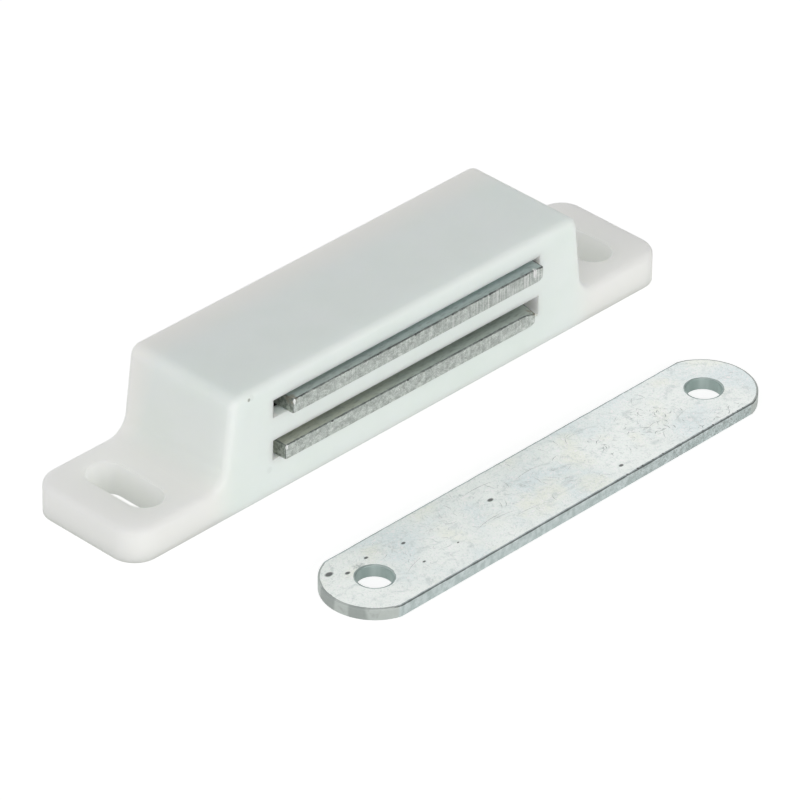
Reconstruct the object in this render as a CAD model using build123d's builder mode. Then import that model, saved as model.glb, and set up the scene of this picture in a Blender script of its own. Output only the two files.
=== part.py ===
"""Magnetic cupboard catch: a moulded housing with a loose magnet pack behind two windows, and its steel strike.

Millimetres. X runs along the housing, the windows face -Y and +Z is up from the surface it is screwed to.
The origin is the middle of the housing's base.
"""
from build123d import *
from math import radians, sin, tan
import os

# Magnet pack: two steel pole plates with one magnet block between them
plate_length = 38.3
plate_depth = 14.15
plate_thickness = 1.75
plate_corner = 0.25         # as sheared
magnet_thickness = 3.6
magnet_end_inset = 1.2      # how far the plates reach past the magnet at each end
magnet_back_inset = 0.8     # and at the back
pack_height = 4.25          # underside of the lower plate above the base
upper_plate_shift = 0.82    # the plates lie where the magnet holds them, not quite in line
lower_plate_shift = -0.25
upper_plate_skew = -0.3     # degrees, the right-hand end further out
lower_plate_skew = -0.35

# How the pack floats in the housing
plate_stand_out = 1.0       # front edges proud of the housing's face
push_in = 0.8               # travel when the strike knocks the pack back
stop_gap = 0.1              # left behind the plates at the end of that travel
seat_gap = 0.05             # under each plate, on the sill of its window
upper_head_room = 0.45      # over each plate in its window
lower_head_room = 0.7
end_room = 1.3              # beyond each end of a plate in its window

# Housing, one moulding
front_wall = 1.6
back_wall = 1.6
end_wall = 1.7
roof = 1.9
roof_clearance = 1.05       # between the pack and the ceiling, bridged by two ribs
cross_wall = 1.6            # closes each end of the magnet's pocket
window_to_end = 7.25        # from the end of a window to the foot of the block's end wall
end_draft = 7.2             # degrees, on the block's end walls
flange_reach = 13.2
flange_thickness = 4.0
flange_corner = 3.0
foot_radius = 2.4
shoulder_radius = 1.4
rim_radius = 0.8
rib_thickness = 1.2
rib_spacing = 22.0
nib_width = 6.0
nib_spacing = 24.0
nib_bite = 0.5              # how far a nib reaches under the lower plate at rest
nib_height = 1.9

# Screw slots, one across each flange
slot_width = 4.3
slot_from_block = 6.9
slot_bevel = 0.15
slot_rim = 2.7              # flange left beyond each end of a bevel

# Strike plate, screwed to the door
strike_length = 62.9
strike_width = 11.3
strike_thickness = 1.4
strike_end_excess = 0.25    # end radius over half the width, so each end meets the sides at a corner
strike_hole = 4.0
strike_hole_from_end = 5.95
strike_roll = 0.2           # upper edges rounded by the punch
strike_x = 0.3
strike_y = -27.7

# Worked out from the sizes above
pocket_length = plate_length + 2 * end_room
skew_room = plate_length / 2 * sin(radians(max(abs(upper_plate_skew), abs(lower_plate_skew))))
pocket_depth = plate_depth - plate_stand_out - front_wall + push_in + stop_gap + skew_room
housing_depth = front_wall + pocket_depth + back_wall
pack_top = pack_height + 2 * plate_thickness + magnet_thickness
ceiling = pack_top + roof_clearance
housing_height = ceiling + roof
plate_pitch = plate_thickness + magnet_thickness
block_foot = pocket_length / 2 + window_to_end
block_top = block_foot - (housing_height - flange_thickness) * tan(radians(end_draft))
base_end = block_foot + flange_reach
slot_x = block_foot + slot_from_block
slot_length = housing_depth - 2 * (slot_rim + slot_bevel)
front_face = -housing_depth / 2
pocket_front = front_face + front_wall
pocket_back = housing_depth / 2 - back_wall
plate_front = front_face - plate_stand_out
magnet_front = pocket_front + stop_gap
magnet_depth = plate_front + plate_depth - magnet_back_inset - magnet_front
magnet_length = plate_length - 2 * magnet_end_inset
strike_hole_spacing = strike_length - 2 * strike_hole_from_end
strike_end_radius = strike_width / 2 + strike_end_excess


def pole_plate(shift, underside, skew):
    """Sheared steel strip, its front edge standing out of the window."""
    middle = Location((shift, plate_front + plate_depth / 2), skew)
    with BuildPart() as plate:
        with BuildSketch(Plane.XY.offset(underside)) as outline:
            with Locations(middle):
                Rectangle(plate_length, plate_depth)
            fillet(outline.vertices(), plate_corner)
        extrude(amount=plate_thickness)
    return plate


with BuildPart() as housing:
    # Side view: a block with drafted end walls between two flanges
    with BuildSketch(Plane.XZ) as side_view:
        with BuildLine():
            Polyline(
                (-base_end, 0),
                (base_end, 0),
                (base_end, flange_thickness),
                (block_foot, flange_thickness),
                (block_top, housing_height),
                (-block_top, housing_height),
                (-block_foot, flange_thickness),
                (-base_end, flange_thickness),
                close=True,
            )
        make_face()
        levels = side_view.vertices().group_by(Axis.Y)
        fillet(levels[1].sort_by(Axis.X)[1:3], foot_radius)
        shoulders = side_view.vertices().group_by(Axis.Y)[-1]
        fillet(shoulders, shoulder_radius)
    extrude(amount=housing_depth / 2, both=True)

    # Rounded flange corners, then one soft edge round the whole outside
    fillet(housing.edges().filter_by(Axis.Z), flange_corner)
    above_base = housing.edges() - housing.edges().group_by(Axis.Z)[0]
    upright = above_base.filter_by(Axis.Z)
    across = above_base.filter_by(Axis.Y).sort_by(Axis.X)[1:-1]
    fillet(above_base - upright - across, rim_radius)

    # Pocket for the magnet pack and a core at each end of the block, all open at the base
    core_inner = pocket_length / 2 + cross_wall
    core_outer = block_top - end_wall
    core_x = (core_inner + core_outer) / 2
    with BuildSketch():
        with Locations((0, (pocket_front + pocket_back) / 2)):
            Rectangle(pocket_length, pocket_depth)
            with GridLocations(2 * core_x, 0, 2, 1):
                Rectangle(core_outer - core_inner, pocket_depth)
    extrude(amount=ceiling, mode=Mode.SUBTRACT)

    # Two windows through the front wall, one for each plate
    with BuildSketch(Plane.XZ.offset(-front_face)):
        for level, head_room in enumerate((lower_head_room, upper_head_room)):
            sill = pack_height + level * plate_pitch - seat_gap
            window_height = seat_gap + plate_thickness + head_room
            with Locations((0, sill + window_height / 2)):
                Rectangle(pocket_length, window_height)
    extrude(amount=-front_wall, mode=Mode.SUBTRACT)

    # Screw slots, their mouths lightly bevelled
    with BuildSketch(Plane.XY.offset(flange_thickness)):
        with GridLocations(2 * slot_x, 0, 2, 1):
            SlotOverall(slot_length, slot_width, rotation=90)
    extrude(amount=-flange_thickness, mode=Mode.SUBTRACT)
    slot_mouths = housing.edges(Select.LAST).group_by(Axis.Z)[-1]
    chamfer(slot_mouths, slot_bevel)

    # Ribs that hold the pack off the ceiling
    rib_foot = pack_top + stop_gap
    with BuildSketch(Plane.XY.offset(rib_foot)):
        with Locations((0, (pocket_front + pocket_back) / 2)):
            with GridLocations(rib_spacing, 0, 2, 1):
                Rectangle(rib_thickness, pocket_depth)
    extrude(amount=ceiling - rib_foot)

    # Snap nibs on the back wall, under the lower plate's back edge
    nib_top = pack_height - stop_gap
    nib_tip = pocket_back - stop_gap - skew_room - push_in - nib_bite
    for side in (-1, 1):
        with BuildSketch(Plane.YZ.offset(side * nib_spacing / 2)):
            with BuildLine():
                Polyline(
                    (pocket_back, nib_top),
                    (nib_tip, nib_top),
                    (pocket_back, nib_top - nib_height),
                    close=True,
                )
            make_face()
        extrude(amount=nib_width / 2, both=True)

with BuildPart() as magnet:
    with BuildSketch(Plane.XY.offset(pack_height + plate_thickness)):
        with Locations(((upper_plate_shift + lower_plate_shift) / 2, magnet_front + magnet_depth / 2)):
            Rectangle(magnet_length, magnet_depth)
    extrude(amount=magnet_thickness)

lower_plate = pole_plate(lower_plate_shift, pack_height, lower_plate_skew)
upper_plate = pole_plate(upper_plate_shift, pack_height + plate_pitch, upper_plate_skew)

with BuildPart() as strike:
    with BuildSketch():
        with Locations((strike_x, strike_y)):
            Rectangle(strike_length, strike_width)
            SlotOverall(strike_length, 2 * strike_end_radius, mode=Mode.INTERSECT)
            with GridLocations(strike_hole_spacing, 0, 2, 1):
                Circle(strike_hole / 2, mode=Mode.SUBTRACT)
    extrude(amount=strike_thickness)
    fillet(strike.edges().group_by(Axis.Z)[-1], strike_roll)

housing.part.label = "housing"
lower_plate.part.label = "lower_pole_plate"
upper_plate.part.label = "upper_pole_plate"
magnet.part.label = "magnet"
strike.part.label = "strike_plate"

os.makedirs("parts", exist_ok=True)
export_step(housing.part, "parts/housing.step")
export_step(lower_plate.part, "parts/lower_pole_plate.step")
export_step(upper_plate.part, "parts/upper_pole_plate.step")
export_step(magnet.part, "parts/magnet.step")
export_step(strike.part, "parts/strike_plate.step")
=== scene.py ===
"""Looks of the magnetic door holder: the white catch with its magnet pack, and the steel strike before it."""
import bmesh
import bpy
from math import cos, exp, pi, radians, sin
from mathutils import Matrix, Vector, noise


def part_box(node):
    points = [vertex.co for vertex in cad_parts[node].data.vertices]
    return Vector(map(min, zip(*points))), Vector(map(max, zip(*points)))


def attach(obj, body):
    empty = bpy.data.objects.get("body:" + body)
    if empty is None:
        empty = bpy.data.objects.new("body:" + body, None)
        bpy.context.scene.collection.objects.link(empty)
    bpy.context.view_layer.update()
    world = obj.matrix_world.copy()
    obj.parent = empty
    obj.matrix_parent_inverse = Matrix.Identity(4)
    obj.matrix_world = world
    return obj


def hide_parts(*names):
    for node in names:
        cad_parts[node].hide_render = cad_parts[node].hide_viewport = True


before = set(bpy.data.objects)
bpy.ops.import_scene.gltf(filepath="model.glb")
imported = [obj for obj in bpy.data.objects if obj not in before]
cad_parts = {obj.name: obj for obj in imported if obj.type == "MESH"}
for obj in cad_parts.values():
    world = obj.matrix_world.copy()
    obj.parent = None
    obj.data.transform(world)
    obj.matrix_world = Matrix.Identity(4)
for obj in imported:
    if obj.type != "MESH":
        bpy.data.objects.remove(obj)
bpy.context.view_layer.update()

# Housing. One white polyolefin moulding with a satin, faintly cloudy skin that light enters a little.
# It was moulded in a spark-eroded cavity, so its faces carry a fine grain and a few dark specks of
# burnt plastic, and its skin is a little smoother in cloudy patches.
mm = 0.001
block_white = (0.855, 0.925, 0.9, 1)
block_cloud = (0.835, 0.905, 0.875, 1)
# Painted light: the flanges and the back of the block get a warmer, lighter white that stands in for light
# glowing through the plastic.
painted_glow_white = (0.93, 0.95, 0.89, 1)
# Painted light: the slot and window hollows get a paler white that stands in for light glowing through their
# walls.
painted_hollow_glow = (0.97, 1, 0.94, 1)
speck_brown = (0.16, 0.15, 0.12, 1)
light_depth = 1.3 * mm
flange_depth = 5 * mm
cloud_size = 7 * mm
flow_size = 3 * mm
grain_size = 0.16 * mm
grain_depth = 0.012 * mm
dust_spacing = 4.5 * mm
# In each pair one colour starts to give way to the next at the first value and has gone at the second.
# All are measured from the middle of the housing's base, but slot_side from slot_middle.
flange_start = (25 * mm, 31 * mm)
block_back = (2 * mm, 7.6 * mm)
slot_middle = 34.6 * mm
slot_side = (2.3 * mm, 2.8 * mm)
slot_end = (5.2 * mm, 5.8 * mm)
slot_rim = (3.7 * mm, 3.98 * mm)
window_wall = (19.4 * mm, 20 * mm)
window_end = (20.46 * mm, 20.6 * mm)
window_mouth = (-7.87 * mm, -7.8 * mm)
window_top = (12 * mm, 12.2 * mm)
burnt_speck = ((-24.08 * mm, -7.85 * mm, 13.5 * mm), 0.26 * mm)
speck_halo = ((-23.7 * mm, -7.85 * mm, 13.6 * mm), 0.45 * mm)
faint_smear = ((-21 * mm, -7.88 * mm, 3.2 * mm), 0.5 * mm)


def node(tree, kind, inputs=None, **settings):
    """One node of a tree: settings are its own properties, inputs are values or other nodes' sockets."""
    made = tree.nodes.new(kind)
    for name, value in settings.items():
        setattr(made, name, value)
    for name, value in (inputs or {}).items():
        if isinstance(value, bpy.types.NodeSocket):
            tree.links.new(value, made.inputs[name])
        else:
            made.inputs[name].default_value = value
    return made


def arithmetic(tree, how, a, b=0.0):
    """One step of arithmetic on two numbers, such as SUBTRACT, or on one, such as ABSOLUTE."""
    return node(tree, "ShaderNodeMath", {0: a, 1: b}, operation=how).outputs[0]


def sum_of(tree, a, b):
    """Two numbers added."""
    return arithmetic(tree, "ADD", a, b)


def product(tree, first, *others):
    """Numbers multiplied together."""
    for other in others:
        first = arithmetic(tree, "MULTIPLY", first, other)
    return first


def largest(tree, first, *others):
    """The largest of some numbers."""
    for other in others:
        first = arithmetic(tree, "MAXIMUM", first, other)
    return first


def unsigned(tree, value):
    """A number without its sign."""
    return arithmetic(tree, "ABSOLUTE", value)


def axes(tree, vector):
    """The x, y and z of a place or a direction."""
    return node(tree, "ShaderNodeSeparateXYZ", {0: vector}).outputs


def between(tree, value, low, high, at_low=0.0, at_high=1.0):
    """A number that goes smoothly from at_low to at_high as value goes from low to high."""
    inputs = {"Value": value, "From Min": low, "From Max": high, "To Min": at_low, "To Max": at_high}
    return node(tree, "ShaderNodeMapRange", inputs, interpolation_type="SMOOTHSTEP").outputs[0]


def tint(tree, share, a, b):
    """Colour a, turning to colour b as share goes from 0 to 1."""
    return node(tree, "ShaderNodeMix", {0: share, 6: a, 7: b}, data_type="RGBA").outputs[2]


def cloud(tree, place, size, detail=3.0, stretch=(1, 1, 1), shift=0.0, curl=0.0):
    """Noise from 0 to 1 in lumps of about that size, in metres. A high curl draws them out into wisps."""
    mapping = {"Vector": place, "Scale": stretch, "Location": (shift, shift, shift)}
    moved = node(tree, "ShaderNodeMapping", mapping)
    inputs = {"Vector": moved.outputs[0], "Scale": 1 / size, "Detail": detail, "Distortion": curl}
    return node(tree, "ShaderNodeTexNoise", inputs).outputs[0]


def spots(tree, place, marks, squash=(1, 1, 1)):
    """1 inside small soft marks, 0 outside. Each mark is its centre and its radius."""
    shares = []
    for centre, radius in marks:
        apart = node(tree, "ShaderNodeVectorMath", {0: place, 1: centre}, operation="SUBTRACT").outputs[0]
        pulled = node(tree, "ShaderNodeVectorMath", {0: apart, 1: squash}, operation="MULTIPLY").outputs[0]
        away = node(tree, "ShaderNodeVectorMath", {0: pulled}, operation="LENGTH").outputs["Value"]
        shares.append(between(tree, away, 0.5 * radius, radius, 1, 0))
    return largest(tree, *shares)


def start_material(name):
    """An empty material: its tree, its shader and where the surface is."""
    material = bpy.data.materials.new(name)
    material.use_nodes = True
    tree = material.node_tree
    shader = next(n for n in tree.nodes if n.type == "BSDF_PRINCIPLED")
    place = node(tree, "ShaderNodeTexCoord").outputs["Object"]
    return material, tree, shader, place


def relief(tree, shader, height, depth):
    """Bump: height from 0 to 1 stands for depth, in metres."""
    bump = node(tree, "ShaderNodeBump", {"Height": height, "Distance": depth, "Strength": 1.0})
    tree.links.new(bump.outputs[0], shader.inputs["Normal"])


def dress(piece, material):
    """One material all over a piece."""
    piece.data.materials.clear()
    piece.data.materials.append(material)


def moulded_plastic():
    """White plastic that light enters: faint clouds, flanges and back painted a warmer white and hollows a
    paler one for the glow of light through them, specks and grain.
    """
    material, tree, shader, place = start_material("moulded_plastic")
    clouds = cloud(tree, place, cloud_size, 4)
    flow = cloud(tree, place, flow_size, 3, (0.25, 1, 1), 0.3)
    x, y, z = axes(tree, place)
    aside = unsigned(tree, x)
    on_flange = between(tree, aside, *flange_start)
    back_glow_share = between(tree, y, *block_back, 0, 0.9)
    colour = tint(tree, between(tree, clouds, 0.35, 0.7), block_white, block_cloud)
    # Painted light: the flanges and the back of the block are tinted lighter for the glow of light through
    # them.
    colour = tint(tree, largest(tree, on_flange, back_glow_share), colour, painted_glow_white)
    # Painted light: the slot and window hollows are tinted paler for the glow of light through their walls.
    off_slot = unsigned(tree, arithmetic(tree, "SUBTRACT", aside, slot_middle))
    in_slot = product(tree, between(tree, off_slot, *slot_side, 1, 0), between(tree, z, *slot_rim, 1, 0),
                      between(tree, unsigned(tree, y), *slot_end, 1, 0))
    in_window = product(tree, between(tree, aside, *window_wall), between(tree, aside, *window_end, 1, 0),
                        between(tree, y, *window_mouth), between(tree, z, *window_top, 1, 0))
    colour = tint(tree, largest(tree, in_slot, in_window), colour, painted_hollow_glow)
    cells = node(tree, "ShaderNodeTexVoronoi", {"Vector": place, "Scale": 1 / dust_spacing})
    chance = node(tree, "ShaderNodeSeparateColor", {0: cells.outputs["Color"]}).outputs[0]
    dust = product(tree, between(tree, cells.outputs["Distance"], 0.012, 0.022, 0.35, 0),
                   between(tree, chance, 0.8, 0.82))
    speck = product(tree, spots(tree, place, [burnt_speck]), 0.6)
    smears = product(tree, spots(tree, place, [speck_halo, faint_smear]), 0.07)
    marked = largest(tree, dust, speck, smears)
    tree.links.new(tint(tree, marked, colour, speck_brown), shader.inputs["Base Color"])
    grain = cloud(tree, place, grain_size, 2)
    rubbed = between(tree, clouds, 0.5, 0.75, 0, -0.06)
    roughness = sum_of(tree, between(tree, grain, 0.3, 0.7, 0.46, 0.58), rubbed)
    tree.links.new(roughness, shader.inputs["Roughness"])
    shader.inputs["Subsurface Weight"].default_value = 1.0
    shader.inputs["Subsurface Radius"].default_value = (1.0, 1.0, 0.95)
    depth = between(tree, on_flange, 0, 1, light_depth, flange_depth)
    tree.links.new(depth, shader.inputs["Subsurface Scale"])
    shader.inputs["Specular IOR Level"].default_value = 0.35
    relief(tree, shader, sum_of(tree, product(tree, grain, 0.25), flow), grain_depth)
    return material


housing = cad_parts["housing"]
dress(housing, moulded_plastic())

# Magnet. A block of pressed and sintered ferrite, dark grey and dull, with a fine granular break.
# Nothing fastens it: the two plates cling to it.
ferrite_dark = (0.028, 0.029, 0.032, 1)
ferrite_light = (0.055, 0.053, 0.052, 1)
ferrite_grain = (0.13, 0.13, 0.13, 1)
ferrite_grain_size = 0.25 * mm
ferrite_patch_size = 2.5 * mm
ferrite_relief = 0.03 * mm


def sintered_ferrite():
    """Dark grey ferrite, patchy, with paler grains."""
    material, tree, shader, place = start_material("sintered_ferrite")
    grains = cloud(tree, place, ferrite_grain_size, 6)
    colour = tint(tree, cloud(tree, place, ferrite_patch_size, 3), ferrite_dark, ferrite_light)
    colour = tint(tree, between(tree, grains, 0.6, 0.75, 0, 0.5), colour, ferrite_grain)
    tree.links.new(colour, shader.inputs["Base Color"])
    tree.links.new(between(tree, grains, 0.3, 0.7, 0.55, 0.85), shader.inputs["Roughness"])
    relief(tree, shader, grains, ferrite_relief)
    return material


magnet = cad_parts["magnet"]
dress(magnet, sintered_ferrite())

# Pole plates. Two strips of zinc-plated mild steel, sheared to size. The shear has rolled the upper arris
# over unevenly, burnished the cut face in fine upright streaks and torn its lowest part. Each plate only
# clings to the magnet, its front edge out of its window.
white = (1, 1, 1, 1)
cut_light = (0.71, 0.76, 0.73, 1)
cut_dark = (0.49, 0.53, 0.51, 1)
streak_dark = (0.40, 0.43, 0.42, 1)
# The colours of the plate ends: torn metal, darkened partly as painted shade on faces turned to the left; the
# darker one also marks dark flecks and grit.
shaded_end_light = (0.50, 0.54, 0.49, 1)
dark_fleck_and_shaded_end = (0.24, 0.27, 0.24, 1)
# Dark oxide for grain and pits, also used as painted shade on arrises and corners.
oxide_and_painted_shade = (0.09, 0.10, 0.10, 1)
rust = (0.30, 0.26, 0.20, 1)
edge_step = 0.12 * mm
roll_over = 0.08 * mm
roll_depth = 0.09 * mm
roll_ragged = 0.9
tear = 0.012 * mm
torn_height = 0.35              # share of the thickness, as are the heights of the rings up the wall
wall_heights = [0.0, 0.04, 0.12, 0.2, 0.3, 0.45, 0.6, 0.8]
roll_steps = 4
lid_margin = 0.1 * mm
corner_reach = 1.1 * mm
foot_reach = 0.4 * mm
corner_rings = [reach * mm for reach in (0.15, 0.35, 0.65, 1.0, 1.4, 2.0)]
cut_face, rolled_face = 1, 2
housing_face = (-8.9 * mm, -7.9 * mm)
steel_relief = 0.02 * mm
rust_radius = 0.9 * mm
foot_wear = 0.3 * mm
upper_look = {"zinc": (0.46, 0.535, 0.52, 1), "zinc_painted_light_at_housing": (0.57, 0.655, 0.65, 1),
              "stain": (0.50, 0.56, 0.54, 1), "streaks": 1.0, "arris": 0.9}
lower_look = {"zinc": (0.54, 0.59, 0.55, 1), "zinc_painted_light_at_housing": (0.50, 0.55, 0.51, 1),
              "stain": (0.60, 0.62, 0.54, 1), "streaks": 0.3, "arris": 0.78}
mark_steps = 40
chip_spacing = 5.3 * mm
burr_spacing = 0.31 * mm


def in_scene(name, data):
    """An object of that mesh, light or camera, put in the scene."""
    placed = bpy.data.objects.new(name, data)
    bpy.context.scene.collection.objects.link(placed)
    return placed


def finished_mesh(name, mesh):
    """A bmesh turned into mesh data."""
    data = bpy.data.meshes.new(name)
    mesh.to_mesh(data)
    mesh.free()
    return data


def outlines(name):
    """The closed outlines of a flat CAD piece's underside, as seen from above, the outer one first.

    It runs anticlockwise from its rearmost point, and each hole clockwise from its foremost one.
    """
    flat = bmesh.new()
    flat.from_mesh(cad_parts[name].data)
    bmesh.ops.remove_doubles(flat, verts=flat.verts, dist=1e-7)
    low = min(v.co.z for v in flat.verts)
    at_foot = [e for e in flat.edges if all(abs(v.co.z - low) < 1e-7 for v in e.verts)]
    rim = {e for e in at_foot if sum(abs(f.normal.z) > 0.5 for f in e.link_faces) == 1}
    loops = []
    while rim:
        edge = rim.pop()
        loop = [edge.verts[0], edge.verts[1]]
        while True:
            following = [e for e in loop[-1].link_edges if e in rim]
            if not following:
                break
            rim.discard(following[0])
            loop.append(following[0].other_vert(loop[-1]))
        loops.append([Vector(v.co[:2]) for v in loop[:-1]])
    flat.free()
    loops.sort(key=lambda loop: min(p.x for p in loop))
    for k, loop in enumerate(loops):
        side = 1 if k == 0 else -1
        area = sum(a.cross(b) for a, b in zip(loop, loop[1:] + loop[:1])) / 2
        if side * area < 0:
            loop.reverse()
        start = loop.index(max(loop, key=lambda p: (side * p.y, p.x)))
        loops[k] = loop[start:] + loop[:start]
    return loops


def walk(loop, step):
    """Points about a step apart round an outline, corners kept, and the way out of the metal at each."""
    points = []
    for a, b in zip(loop, loop[1:] + loop[:1]):
        parts = max(1, round((b - a).length / step))
        points += [a.lerp(b, k / parts) for k in range(parts)]
    walked = []
    for before, here, after in zip(points[-1:] + points[:-1], points, points[1:] + points[:1]):
        along = ((here - before).normalized() + (after - here).normalized()).normalized()
        walked.append((here, Vector((along.y, -along.x))))
    return walked


def wall_profile(here, seed, thickness, roll, depth, ragged):
    """How far in and how high the wall lies at one spot of the outline, ring by ring from foot to top."""
    wander = noise.noise(Vector((here.x, here.y, seed * mm)) / (1.6 * mm))
    jag = noise.noise(Vector((here.x, here.y, -seed * mm)) / (0.35 * mm))
    width = roll * max(0.2, 1 + 0.35 * wander + ragged * jag)
    drop = depth * max(0.2, 1 + 0.5 * wander + ragged * jag)
    rows = []
    for share in wall_heights:
        height = share * (thickness - drop)
        torn = max(0.0, 1 - share / torn_height)
        rough = noise.noise(Vector((here.x, here.y, height + seed * mm)) / (0.22 * mm))
        rows.append((-tear * torn * (0.5 + 0.5 * rough), height))
    for turn in range(roll_steps + 1):
        angle = turn / roll_steps * pi / 2
        rows.append((-width * (1 - cos(angle)), thickness - drop * (1 - sin(angle))))
    rows.append((-width - lid_margin, thickness))
    return rows


def wear_corner(mesh, low, high, x, y, drop, lift):
    """Pulls the top down by drop and the foot up by lift round one corner, over a finer net of faces."""
    corner = Vector((x, y, 0))
    for away in corner_rings:
        for side in (Vector((1, 0, 0)), Vector((0, -1, 0))):
            lid = [f for f in mesh.faces if all(v.co.z > high.z - 1e-7 for v in f.verts)]
            edges = dict.fromkeys(e for f in lid for e in f.edges)
            corners = dict.fromkeys(v for f in lid for v in f.verts)
            bmesh.ops.bisect_plane(mesh, geom=[*lid, *edges, *corners], dist=1e-6,
                                   plane_co=corner - side * away, plane_no=side)
    for vertex in mesh.verts:
        off = (corner.xy - vertex.co.xy).length
        share = (vertex.co.z - low.z) / (high.z - low.z)
        vertex.co.z -= drop * exp(-(off / corner_reach) ** 2) * share
        vertex.co.z += lift * exp(-(off / foot_reach) ** 2) * (1 - share)


def sheared_blank(name, node_name, seed, roll, depth, ragged, worn_corners=()):
    """A flat sheared piece in its CAD node's outline: a rolled arris over a burnished and torn cut.

    Ragged is the share by which the roll comes and goes from one spot to the next.
    At each worn corner, given as x, y, drop and lift, the shear pulled the top down and wore the foot away.
    """
    low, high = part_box(node_name)
    thickness = high.z - low.z
    mesh = bmesh.new()
    kind = mesh.faces.layers.int.new("cut")
    around = mesh.loops.layers.uv.new("edge")
    rings_low, rings_high = [], []
    for loop in outlines(node_name):
        walked = walk(loop, edge_step)
        columns = []
        for here, out in walked:
            rows = wall_profile(here, seed, thickness, roll, depth, ragged)
            columns.append([mesh.verts.new((here.x + out.x * inset, here.y + out.y * inset, low.z + height))
                            for inset, height in rows])
        rings_low.append([column[0] for column in columns])
        rings_high.append([column[-1] for column in columns])
        run = 0.0
        for k, column in enumerate(columns):
            after = (k + 1) % len(columns)
            following = columns[after]
            end = run + (walked[after][0] - walked[k][0]).length
            for row in range(len(column) - 1):
                face = mesh.faces.new((column[row], following[row], following[row + 1], column[row + 1]))
                face.smooth = True
                face[kind] = cut_face if row < len(wall_heights) else rolled_face
                foot, top = (v.co.z - low.z for v in (column[row], column[row + 1]))
                corners = (run, foot), (end, foot), (end, top), (run, top)
                for corner, (along, height) in zip(face.loops, corners):
                    corner[around].uv = (along / mm, height / thickness)
            run = end
    for rings, up in ((rings_low, False), (rings_high, True)):
        edges = [mesh.edges.get((a, b)) for ring in rings for a, b in zip(ring, ring[1:] + ring[:1])]
        made = bmesh.ops.triangle_fill(mesh, edges=edges, use_beauty=True)
        for face in made["geom"]:
            if isinstance(face, bmesh.types.BMFace):
                face.normal_update()
                if (face.normal.z > 0) != up:
                    face.normal_flip()
                face.smooth = True
    for x, y, drop, lift in worn_corners:
        wear_corner(mesh, low, high, x, y, drop, lift)
    return in_scene(name, finished_mesh(name, mesh))


def from_edge(tree, across, along, detail=4.0, shift=0.0):
    """Noise on a cut face, with so many lumps per millimetre of edge and per thickness of plate."""
    edge = node(tree, "ShaderNodeUVMap", uv_map="edge").outputs[0]
    mapping = {"Vector": edge, "Scale": (across, along, 1), "Location": (shift, shift, 0)}
    inputs = {"Vector": node(tree, "ShaderNodeMapping", mapping).outputs[0], "Scale": 1.0, "Detail": detail}
    return node(tree, "ShaderNodeTexNoise", inputs).outputs[0]


def kinds_of_face(tree):
    """Shares of a sheared piece's surface that are cut face and rolled arris."""
    kind = node(tree, "ShaderNodeAttribute", attribute_name="cut").outputs["Fac"]
    return between(tree, kind, 0.2, 0.8), between(tree, kind, 1.2, 1.8)


def plated_flat(tree, place, lumps, fine, look):
    """The zinc on a plate's flats: painted light where it runs into the housing, lighter on the upper plate
    and painted shade on the lower, a stain at its left, fine dark grain.
    """
    x, y, z = axes(tree, place)
    # Painted light and shade: where the plate runs into the housing its zinc turns lighter on the upper plate
    # and darker on the lower.
    colour = tint(tree, between(tree, y, *housing_face), look["zinc"], look["zinc_painted_light_at_housing"])
    leftward = between(tree, x, -16 * mm, 6 * mm, 1, 0)
    colour = tint(tree, product(tree, leftward, between(tree, lumps, 0.25, 0.6, 0.4)), colour, look["stain"])
    return tint(tree, between(tree, fine, 0.45, 0.75, 0, 0.3), colour, oxide_and_painted_shade)


def sheared_face(tree, place, streaks, torn, look):
    """The cut face: flecks and grit, streaks that grow to the right, torn ends in darker colours that are
    partly painted shade, and painted shade on the rounded left corner and on faces turned to the right.
    """
    x = axes(tree, place)[0]
    grit = cloud(tree, place, 0.14 * mm, 3)
    flecks = cloud(tree, place, 0.55 * mm, 4, (0.8, 1, 1.5), 0.7, 1.2)
    colour = tint(tree, between(tree, from_edge(tree, 1.3, 1.6, 5, 3.1), 0.35, 0.65), cut_dark, cut_light)
    colour = tint(tree, between(tree, flecks, 0.5, 0.66, 0, 0.35), colour, dark_fleck_and_shaded_end)
    colour = tint(tree, between(tree, flecks, 0.42, 0.3, 0, 0.45), colour, white)
    colour = tint(tree, between(tree, grit, 0.5, 0.68, 0, 0.45), colour, dark_fleck_and_shaded_end)
    colour = tint(tree, between(tree, grit, 0.42, 0.3, 0, 0.5), colour, white)
    rising = between(tree, x, -8 * mm, 19 * mm, 0.15 * look["streaks"], look["streaks"])
    dark_streaks = between(tree, streaks, 0.58, 0.4, 0, 0.55)
    colour = tint(tree, product(tree, dark_streaks, rising), colour, streak_dark)
    bright_bars = between(tree, from_edge(tree, 7.5, 0.25, 3, 7.3), 0.46, 0.68, 0, 0.6)
    colour = tint(tree, product(tree, bright_bars, rising), colour, white)
    # Painted shade: faces turned to the left take the darker end colours, and the rounded left corner and
    # faces turned to the right are darkened.
    turned = axes(tree, node(tree, "ShaderNodeNewGeometry").outputs["Normal"])[0]
    end = tint(tree, between(tree, torn, 0.35, 0.6), dark_fleck_and_shaded_end, shaded_end_light)
    colour = tint(tree, between(tree, turned, -0.9, -0.6, 1, 0), colour, end)
    left_corner_shade = product(tree, between(tree, turned, -0.97, -0.85),
                          between(tree, turned, -0.75, -0.55, 1, 0))
    corners = largest(tree, left_corner_shade, between(tree, turned, 0.3, 0.6))
    return tint(tree, product(tree, corners, 0.7), colour, oxide_and_painted_shade)


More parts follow.
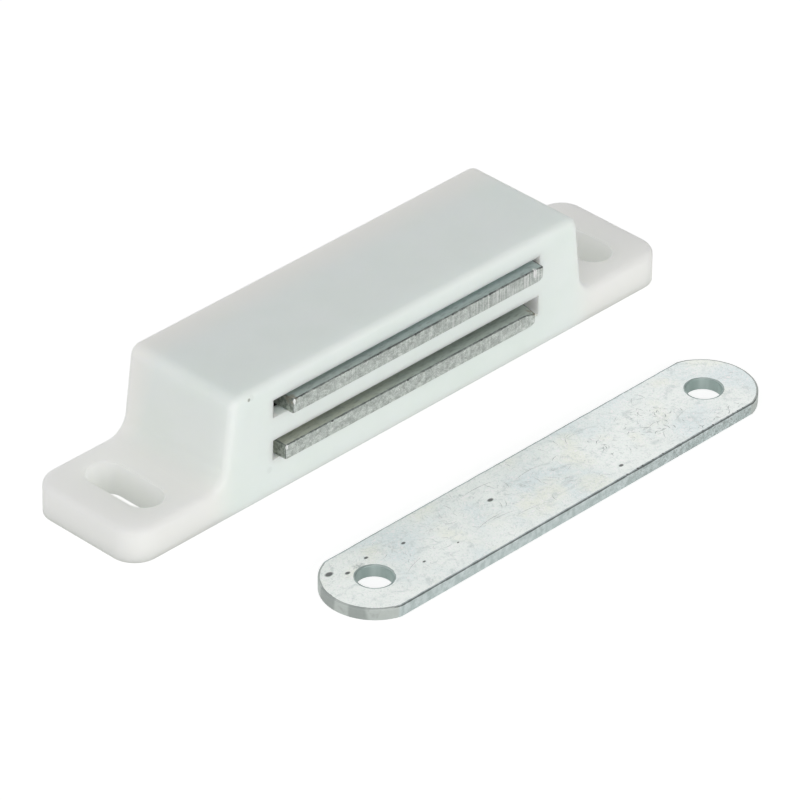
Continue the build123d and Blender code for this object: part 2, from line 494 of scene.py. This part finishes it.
def sheared_steel(name, look):
    """Dull zinc on the flats, streaked metal on the cut faces, a dark line of painted shade where they meet,
    and painted highlights near the front corners.
    """
    material, tree, shader, place = start_material(name)
    lumps = cloud(tree, place, 2.2 * mm, 5)
    fine = cloud(tree, place, 0.3 * mm, 4, (0.35, 1, 1))
    torn = cloud(tree, place, 0.45 * mm, 5, (1, 1, 1), 0.2)
    streaks = from_edge(tree, 4.5, 0.3)
    is_cut, is_roll = kinds_of_face(tree)
    colour = tint(tree, is_cut, plated_flat(tree, place, lumps, fine, look),
                  sheared_face(tree, place, streaks, torn, look))
    # Painted shade: the rolled arris is darkened into a patchy dark line along its length.
    arris_shade_share = between(tree, cloud(tree, place, 1.1 * mm, 4), 0.3, 0.6, 0.5 * look["arris"], look["arris"])
    colour = tint(tree, product(tree, is_roll, arris_shade_share), colour, oxide_and_painted_shade)
    rusty = spots(tree, place, [(look["rusty"], rust_radius)])
    colour = tint(tree, product(tree, rusty, between(tree, torn, 0.4, 0.6, 0, 0.7)), colour, rust)
    # Painted highlight: small spots turned white and a little smoother.
    glint = spots(tree, place, look["glints"], (1.6, 1, 0.8))
    tree.links.new(tint(tree, glint, colour, white), shader.inputs["Base Color"])
    shader.inputs["Metallic"].default_value = 0.6
    rough_flat = between(tree, lumps, 0.3, 0.7, 0.45, 0.6)
    rough_cut = between(tree, streaks, 0.3, 0.7, 0.55, 0.4)
    rough = node(tree, "ShaderNodeMix", {0: is_cut, 2: rough_flat, 3: rough_cut}).outputs[0]
    tree.links.new(sum_of(tree, rough, product(tree, glint, -0.2)), shader.inputs["Roughness"])
    carved = sum_of(tree, streaks, product(tree, torn, 1.5))
    height = node(tree, "ShaderNodeMix", {0: is_cut, 2: product(tree, fine, 0.25), 3: carved}).outputs[0]
    relief(tree, shader, height, steel_relief)
    return material


def plain_metal(name, colour, roughness):
    """Small marks on steel: one colour, mottled a little."""
    material, tree, shader, place = start_material(name)
    lumps = cloud(tree, place, 0.4 * mm, 3)
    darker = tuple(0.6 * part for part in colour[:3]) + (1,)
    tree.links.new(tint(tree, lumps, darker, colour), shader.inputs["Base Color"])
    tree.links.new(between(tree, lumps, 0.3, 0.7, roughness, roughness + 0.15), shader.inputs["Roughness"])
    shader.inputs["Metallic"].default_value = 0.8
    return material


def scatter_tree(name, along):
    """A tree that sets a mark again and again, along an edge or over a face, turned and sized by chance."""
    tree = bpy.data.node_groups.new(name, "GeometryNodeTree")
    sockets = {"Place": "Geometry", "Mark": "Object", "Spacing": "Float", "Smallest": "Float",
               "Largest": "Float", "Turn": "Vector", "Seed": "Int", "Material": "Material"}
    for label, kind in sockets.items():
        tree.interface.new_socket(name=label, in_out="INPUT", socket_type="NodeSocket" + kind)
    tree.interface.new_socket(name="Marks", in_out="OUTPUT", socket_type="NodeSocketGeometry")
    given = node(tree, "NodeGroupInput").outputs
    if along:
        path = node(tree, "GeometryNodeMeshToCurve", {0: given["Place"]}).outputs[0]
        inputs = {"Curve": path, "Length": given["Spacing"]}
        points = node(tree, "GeometryNodeResampleCurve", inputs, mode="LENGTH")
    else:
        density = arithmetic(tree, "DIVIDE", 1.0, product(tree, given["Spacing"], given["Spacing"]))
        inputs = {"Mesh": given["Place"], "Density": density, "Seed": given["Seed"]}
        points = node(tree, "GeometryNodeDistributePointsOnFaces", inputs)
    back = node(tree, "ShaderNodeVectorMath", {0: given["Turn"], "Scale": -1}, operation="SCALE").outputs[0]
    inputs = {0: back, 1: given["Turn"], 8: given["Seed"]}
    turn = node(tree, "FunctionNodeRandomValue", inputs, data_type="FLOAT_VECTOR").outputs[0]
    inputs = {2: given["Smallest"], 3: given["Largest"], 8: given["Seed"]}
    size = node(tree, "FunctionNodeRandomValue", inputs).outputs[1]
    mark = node(tree, "GeometryNodeObjectInfo", {0: given["Mark"]}).outputs["Geometry"]
    rotation = node(tree, "FunctionNodeEulerToRotation", {0: turn}).outputs[0]
    inputs = {"Points": points.outputs[0], "Instance": mark, "Rotation": rotation, "Scale": size}
    placed = node(tree, "GeometryNodeInstanceOnPoints", inputs).outputs[0]
    solid = node(tree, "GeometryNodeRealizeInstances", {0: placed}).outputs[0]
    painted = node(tree, "GeometryNodeSetMaterial", {0: solid, "Material": given["Material"]}).outputs[0]
    node(tree, "NodeGroupOutput", {0: painted})
    return tree


def scatter(name, tree, points, faces, **values):
    """The marks that a tree sets along these points, or over these faces, as one piece."""
    data = bpy.data.meshes.new(name)
    data.from_pydata(points, [] if faces else [(k, k + 1) for k in range(len(points) - 1)], faces)
    piece = in_scene(name, data)
    grown = piece.modifiers.new("marks", "NODES")
    grown.node_group = tree
    for item in tree.interface.items_tree:
        if item.in_out == "INPUT" and item.name in values:
            grown[item.identifier] = values[item.name]
    piece.update_tag()
    evaluated = piece.evaluated_get(bpy.context.evaluated_depsgraph_get())
    finished = bpy.data.meshes.new_from_object(evaluated)
    piece.modifiers.clear()
    piece.data = finished
    return piece


def pebble(name, length, width, height):
    """A small squashed lump, used as a mark."""
    mesh = bmesh.new()
    bmesh.ops.create_icosphere(mesh, subdivisions=1, radius=0.5)
    bmesh.ops.scale(mesh, vec=(length, width, height), verts=mesh.verts)
    for face in mesh.faces:
        face.smooth = True
    return bpy.data.objects.new(name, finished_mesh(name, mesh))


along_edge = scatter_tree("marks_along_edge", True)
chip = pebble("chip", 0.36 * mm, 0.24 * mm, 0.2 * mm)
chip_metal = plain_metal("chipped_steel", (0.16, 0.17, 0.17, 1), 0.5)
burr = pebble("burr", 0.2 * mm, 0.035 * mm, 0.05 * mm)
burr_metal = plain_metal("torn_steel", (0.62, 0.65, 0.63, 1), 0.4)
for name, node_name, seed, drop, rusty_at_right, look in (
        ("upper_plate", "upper_pole_plate", 11, 0.15 * mm, False, upper_look),
        ("lower_plate", "lower_pole_plate", 23, 0.42 * mm, True, lower_look)):
    low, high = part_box(node_name)
    at_front = [p for p in outlines(node_name)[0] if p.y < low.y + 0.5 * mm]
    left = min(at_front, key=lambda p: p.x + p.y)
    right = max(at_front, key=lambda p: p.x - p.y)
    plate = sheared_blank(name, node_name, float(seed), roll_over, roll_depth, roll_ragged,
                          [(right.x, right.y, drop, foot_wear)])
    # Painted highlights: two small white spots near the plate's front corners.
    look["glints"] = [((left.x + 0.1 * mm, left.y, high.z - 0.3 * mm), 0.3 * mm),
                      ((right.x - 1.3 * mm, right.y, high.z - 0.45 * mm), 0.6 * mm * look["streaks"])]
    rusty_end = right if rusty_at_right else left
    look["rusty"] = (rusty_end.x, rusty_end.y + 0.5 * mm, high.z - drop)
    dress(plate, sheared_steel(name + "_steel", look))
    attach(plate, "magnet_pack")
    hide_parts(node_name)
    edge = [left.lerp(right, 0.03 + 0.9 * k / mark_steps) for k in range(mark_steps + 1)]
    arris = [(x, y - 0.05 * mm, high.z - 0.05 * mm) for x, y in edge]
    foot = [(x, y + 0.01 * mm, low.z + 0.02 * mm) for x, y in edge]
    for label, path, mark, spacing, metal in (("chips", arris, chip, chip_spacing, chip_metal),
                                              ("burrs", foot, burr, burr_spacing, burr_metal)):
        marks = scatter(name + "_" + label, along_edge, path, [], Mark=mark, Spacing=spacing,
                        Smallest=0.3, Largest=1.2, Turn=Vector((0.5, 0.2, 0.1)), Seed=seed, Material=metal)
        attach(marks, "magnet_pack")

# Strike. A steel blank punched from bright zinc-plated strip with two screw holes, flat and thin.
# Its plating is mottled blue and yellow, scratched by handling and pitted here and there.
strike_bright = (0.95, 0.995, 0.965, 1)
strike_blue = (0.84, 0.94, 0.97, 1)
strike_straw = (0.95, 0.97, 0.87, 1)
strike_grey = (0.66, 0.72, 0.71, 1)
strike_line = (0.42, 0.46, 0.46, 1)
wall_dark = (0.63, 0.72, 0.72, 1)
wall_light = (0.82, 0.90, 0.91, 1)
wall_speck = (0.30, 0.33, 0.32, 1)
facet_dark = (0.44, 0.47, 0.45, 1)
facet_light = (0.68, 0.72, 0.69, 1)
facet_stain = (0.36, 0.38, 0.36, 1)
bore_dark = (0.44, 0.54, 0.52, 1)
bore_light = (0.68, 0.78, 0.76, 1)
# Fine lines in the plating: size and shift of their noise, its level, width, share and colour
plating_lines = [(2.2 * mm, 0.2, 0.5, 0.012, 0.5, strike_line),
                 (1.3 * mm, 0.6, 0.45, 0.014, 0.4, strike_line),
                 (1.6 * mm, 1.1, 0.52, 0.02, 0.6, white)]
# Centres and radii, in millimetres
pits = [((-28.33, -24.11), 0.5), ((-26.78, -25.3), 0.32), ((-23.42, -24.68), 0.26), ((-18.7, -25.52), 0.27),
        ((-19.56, -29.41), 0.2), ((-6.37, -26.35), 0.38), ((8.37, -31.6), 0.3), ((-14.52, -29.46), 0.15)]
smudge = ((-25.09, -25.25), 0.75)
hole_centres = [(-25.2 * mm, -27.7 * mm), (25.8 * mm, -27.7 * mm)]
bore_reach = 4.4 * mm
half_sheet = 0.7 * mm
round_ends = (27.0 * mm, 27.4 * mm)
front_wall = (-33.1 * mm, -32.95 * mm)
strike_roll = 0.14 * mm
strike_roll_depth = 0.12 * mm
strike_ragged = 0.3
strike_relief = 0.012 * mm
scratch_rise = 0.001 * mm
sliver_half = 0.002 * mm


def plated_face(tree, place, top, clouds, feathers, fine, pitted):
    """The plating on the strike's face: blue and straw patches, grey wisps, hairlines, a smudge and pits."""
    straw_patches = cloud(tree, place, 6 * mm, 4, (1, 1, 1), 0.7)
    wisps = cloud(tree, place, 0.7 * mm, 5, (1, 0.7, 1), 0.9, 4.0)
    colour = tint(tree, between(tree, clouds, 0.45, 0.65, 0, 0.6), strike_bright, strike_blue)
    colour = tint(tree, between(tree, straw_patches, 0.5, 0.68, 0, 0.7), colour, strike_straw)
    colour = tint(tree, between(tree, feathers, 0.5, 0.75, 0, 0.65), colour, strike_grey)
    for size, shift, level, wide, share, shade in plating_lines:
        field = cloud(tree, place, size, 6, (1, 0.8, 1), shift, 1.2)
        off = unsigned(tree, arithmetic(tree, "SUBTRACT", field, level))
        gaps = cloud(tree, place, 1.1 * mm, 3, (1, 1, 1), shift + 0.5)
        line = product(tree, between(tree, off, 0, wide, 1, 0), between(tree, gaps, 0.5, 0.62, 0, share))
        colour = tint(tree, line, colour, shade)
    colour = tint(tree, between(tree, wisps, 0.52, 0.72, 0, 0.55), colour, strike_grey)
    colour = tint(tree, between(tree, fine, 0.5, 0.75, 0, 0.45), colour, strike_grey)
    colour = tint(tree, between(tree, wisps, 0.47, 0.33), colour, white)
    (x, y), radius = smudge
    smudged = product(tree, spots(tree, place, [((x * mm, y * mm, top), radius * mm)], (0.8, 1.1, 1)),
                      between(tree, fine, 0.4, 0.55, 0.1, 0.75))
    colour = tint(tree, smudged, colour, strike_line)
    return tint(tree, product(tree, pitted, 0.9), colour, oxide_and_painted_shade)


def punched_wall(tree, place, top, fine):
    """The strike's cut edge: mottled on the straight, darker facets round the ends, bluish in the holes."""
    x = axes(tree, place)[0]
    mottle = from_edge(tree, 1.2, 1.5, 5)
    colour = tint(tree, between(tree, mottle, 0.35, 0.65), wall_dark, wall_light)
    speckled = product(tree, between(tree, fine, 0.45, 0.6), between(tree, x, -5 * mm, 20 * mm, 0.1, 0.55))
    colour = tint(tree, speckled, colour, wall_speck)
    facets = between(tree, from_edge(tree, 0.22, 0.05, 1, 4.3), 0.47, 0.52)
    bent = tint(tree, facets, facet_dark, facet_light)
    bent = tint(tree, between(tree, mottle, 0.5, 0.7, 0, 0.5), bent, facet_stain)
    colour = tint(tree, between(tree, unsigned(tree, x), *round_ends, 0, 0.8), colour, bent)
    bores = [((x, y, top - half_sheet), bore_reach) for x, y in hole_centres]
    patches = between(tree, from_edge(tree, 0.5, 0.1, 3, 1.3), 0.3, 0.7)
    return tint(tree, spots(tree, place, bores), colour, tint(tree, patches, bore_dark, bore_light))


def bright_zinc(top):
    """Bright zinc on a punched blank: plated face, cut walls, and painted shade on the rolled arris, darkest
    along the front.
    """
    material, tree, shader, place = start_material("bright_zinc")
    clouds = cloud(tree, place, 8 * mm, 4)
    feathers = cloud(tree, place, 2.4 * mm, 7, (0.7, 1, 1), 0.4, 3.0)
    fine = cloud(tree, place, 0.3 * mm, 5, (1, 1, 1), 0.0, 1.5)
    pit_marks = [((x * mm, y * mm, top), radius * mm) for (x, y), radius in pits]
    pitted = spots(tree, place, pit_marks, (0.75, 1.2, 1))
    is_cut, is_roll = kinds_of_face(tree)
    colour = tint(tree, is_cut, plated_face(tree, place, top, clouds, feathers, fine, pitted),
                  punched_wall(tree, place, top, fine))
    # Painted shade: the rolled arris is darkened all round, and most where it faces forward along the front
    # edge.
    facing = axes(tree, node(tree, "ShaderNodeNewGeometry").outputs["True Normal"])[1]
    at_front = product(tree, between(tree, axes(tree, place)[1], *front_wall, 1, 0),
                       between(tree, facing, -0.5, -0.25, 1, 0), 0.55)
    shaded = product(tree, is_roll, sum_of(tree, at_front, 0.25))
    tree.links.new(tint(tree, shaded, colour, oxide_and_painted_shade), shader.inputs["Base Color"])
    shader.inputs["Metallic"].default_value = 0.85
    roughness = sum_of(tree, between(tree, clouds, 0.3, 0.7, 0.32, 0.44), product(tree, is_roll, 0.2))
    tree.links.new(roughness, shader.inputs["Roughness"])
    height = sum_of(tree, product(tree, fine, 0.3), product(tree, feathers, 0.6))
    relief(tree, shader, sum_of(tree, height, product(tree, pitted, -2.0)), strike_relief)
    return material


def hairline(name, length, width, bend):
    """A long thin curved scratch, pointed at both ends, as a closed sliver."""
    steps = 12
    points = []
    for k in range(steps + 1):
        t = k / steps
        half = width * sin(pi * (0.04 + 0.92 * t)) / 2
        x, y = length * (t - 0.5), bend * (1 - (2 * t - 1) ** 2)
        points += [(x, y - half, 0), (x, y, sliver_half), (x, y + half, 0), (x, y, -sliver_half)]
    faces = [(4 * k + a, 4 * k + b, 4 * k + 4 + b, 4 * k + 4 + a) for k in range(steps)
             for a, b in ((0, 3), (3, 2), (2, 1), (1, 0))]
    faces += [(0, 1, 2, 3), (4 * steps + 3, 4 * steps + 2, 4 * steps + 1, 4 * steps)]
    data = bpy.data.meshes.new(name)
    data.from_pydata(points, [], faces)
    return bpy.data.objects.new(name, data)


strike_low, strike_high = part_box("strike_plate")
strike = sheared_blank("strike", "strike_plate", 5.0, strike_roll, strike_roll_depth, strike_ragged)
dress(strike, bright_zinc(strike_high.z))
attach(strike, "housing")
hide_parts("strike_plate")

over_face = scatter_tree("marks_over_face", False)
scratch_metal = plain_metal("scratched_zinc", (0.50, 0.54, 0.53, 1), 0.4)
scuff = hairline("scuff", 0.7 * mm, 0.08 * mm, 0.15 * mm)
long_scratch = hairline("long_scratch", 4.5 * mm, 0.045 * mm, 0.25 * mm)
short_scratch = hairline("short_scratch", 1.3 * mm, 0.05 * mm, 0.12 * mm)
for name, (x0, x1, y0, y1), spacing, mark, turn, seed in (
        ("long_scratches", (-21, 21, -31.5, -24), 7, long_scratch, 0.6, 31),
        ("short_scratches", (-22, 22, -32, -23.5), 2.2, short_scratch, 3.1, 32),
        ("scuffs", (9, 21, -30.5, -25.5), 0.9, scuff, 3.1, 33),
        ("edge_scuffs", (15, 27.5, -32.75, -32.1), 0.62, scuff, 3.1, 34)):
    corners = [(x * mm, y * mm, strike_high.z + scratch_rise)
               for x, y in ((x0, y0), (x1, y0), (x1, y1), (x0, y1))]
    marks = scatter(name, over_face, corners, [(0, 1, 2, 3)], Mark=mark, Spacing=spacing * mm,
                    Smallest=0.35, Largest=1.1, Turn=Vector((0, 0, turn)), Seed=seed, Material=scratch_metal)
    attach(marks, "housing")
nicked = [((6 + 20 * k / mark_steps) * mm, strike_low.y + 0.17 * mm, strike_high.z - 0.05 * mm)
          for k in range(mark_steps + 1)]
marks = scatter("edge_nicks", along_edge, nicked, [], Mark=chip, Spacing=0.8 * mm, Smallest=0.2,
                Largest=1.1, Turn=Vector((0.2, 0.2, 0.45)), Seed=41, Material=chip_metal)
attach(marks, "housing")

# Studio. A white table without an end, faintly lit from below and clear when seen from there, bright walls
# all round, and one soft light before the catch, which makes its front the lightest face.
paper_grey = (0.55, 0.55, 0.55, 1)
paper_seen = (0.45, 0.45, 0.45, 1)
glow_seen = 0.74
light_below = (0.98, 1, 0.965, 1)
strength_below = 0.27
half_table = 1.5
table_level = -0.02 * mm
dark_side = Vector((0.75, -0.6, 0.3)).normalized()
sky_on_surfaces = 0.945
sky_in_gloss = 1.15
softbox_colour = (1.0, 0.99, 0.95)
softbox_toward = Vector((0.0, -0.95, 0.25)).normalized()
softbox_distance = 0.8
softbox_size = 0.5
softbox_watts = 2.55


def table_paper():
    """Paper that the camera sees as white, and that gives the object a little light from below."""
    material = bpy.data.materials.new("table_paper")
    material.use_nodes = True
    tree = material.node_tree
    tree.nodes.clear()
    seen = node(tree, "ShaderNodeLightPath").outputs["Is Camera Ray"]
    paper = node(tree, "ShaderNodeBsdfDiffuse", {"Color": paper_grey})
    lamp_below = node(tree, "ShaderNodeEmission", {"Color": light_below, "Strength": strength_below})
    lit = node(tree, "ShaderNodeAddShader", {0: paper.outputs[0], 1: lamp_below.outputs[0]})
    shown = node(tree, "ShaderNodeBsdfDiffuse", {"Color": paper_seen})
    glow = node(tree, "ShaderNodeEmission", {"Color": white, "Strength": glow_seen})
    both = node(tree, "ShaderNodeAddShader", {0: shown.outputs[0], 1: glow.outputs[0]})
    above = node(tree, "ShaderNodeMixShader", {0: seen, 1: lit.outputs[0], 2: both.outputs[0]})
    below = node(tree, "ShaderNodeNewGeometry").outputs["Backfacing"]
    clear = node(tree, "ShaderNodeBsdfTransparent")
    mixed = node(tree, "ShaderNodeMixShader", {0: below, 1: above.outputs[0], 2: clear.outputs[0]})
    node(tree, "ShaderNodeOutputMaterial", {"Surface": mixed.outputs[0]})
    return material


table_mesh = bpy.data.meshes.new("table")
table_corners = [(x * half_table, y * half_table, table_level)
                 for x, y in ((-1, -1), (1, -1), (1, 1), (-1, 1))]
table_mesh.from_pydata(table_corners, [], [(0, 1, 2, 3)])
table = in_scene("table", table_mesh)
dress(table, table_paper())

world = bpy.data.worlds.new("studio")
bpy.context.scene.world = world
world.use_nodes = True
tree = world.node_tree
tree.nodes.clear()
way = node(tree, "ShaderNodeTexCoord").outputs["Generated"]
toward = node(tree, "ShaderNodeVectorMath", {0: way, 1: dark_side}, operation="DOT_PRODUCT").outputs["Value"]
level = product(tree, between(tree, toward, 0.2, 0.9, 1.0, 0.3),
                between(tree, axes(tree, way)[2], 0.3, 1.0, 1.0, 0.6))
rays = node(tree, "ShaderNodeLightPath").outputs
strength = node(tree, "ShaderNodeMix", {0: rays["Is Glossy Ray"], 2: product(tree, level, sky_on_surfaces),
                                        3: product(tree, level, sky_in_gloss)}).outputs[0]
strength = node(tree, "ShaderNodeMix", {0: rays["Is Camera Ray"], 2: strength, 3: 1.0}).outputs[0]
backdrop = node(tree, "ShaderNodeBackground", {"Color": white, "Strength": strength})
node(tree, "ShaderNodeOutputWorld", {"Surface": backdrop.outputs[0]})

softbox = bpy.data.lights.new("front_softbox", "AREA")
softbox.size = softbox_size
softbox.energy = softbox_watts
softbox.color = softbox_colour
lamp = in_scene("front_softbox", softbox)
lamp.location = softbox_toward * softbox_distance
lamp.rotation_mode = "QUATERNION"
lamp.rotation_quaternion = softbox_toward.to_track_quat("Z", "Y")

# Camera. A long lens some 73 cm away, turned a degree, as in the photograph.
camera_azimuth = radians(-46.196)
camera_elevation = radians(33.379)
camera_roll = radians(1.015)
camera_distance = 0.7307
camera_target = Vector((2.08 * mm, -4.74 * mm, 0))
sensor = 36.0
focal_length = 302.74

camera_data = bpy.data.cameras.new("camera")
camera_data.sensor_width = sensor
camera_data.lens = focal_length
camera_data.clip_start = 0.05
camera = in_scene("camera", camera_data)
back = Vector((sin(camera_azimuth) * cos(camera_elevation), -cos(camera_azimuth) * cos(camera_elevation),
               sin(camera_elevation)))
turn = back.to_track_quat("Z", "Y").to_matrix() @ Matrix.Rotation(camera_roll, 3, "Z")
camera.matrix_world = Matrix.Translation(camera_target + back * camera_distance) @ turn.to_4x4()
bpy.context.scene.camera = camera
bpy.context.scene.view_settings.view_transform = "Standard"
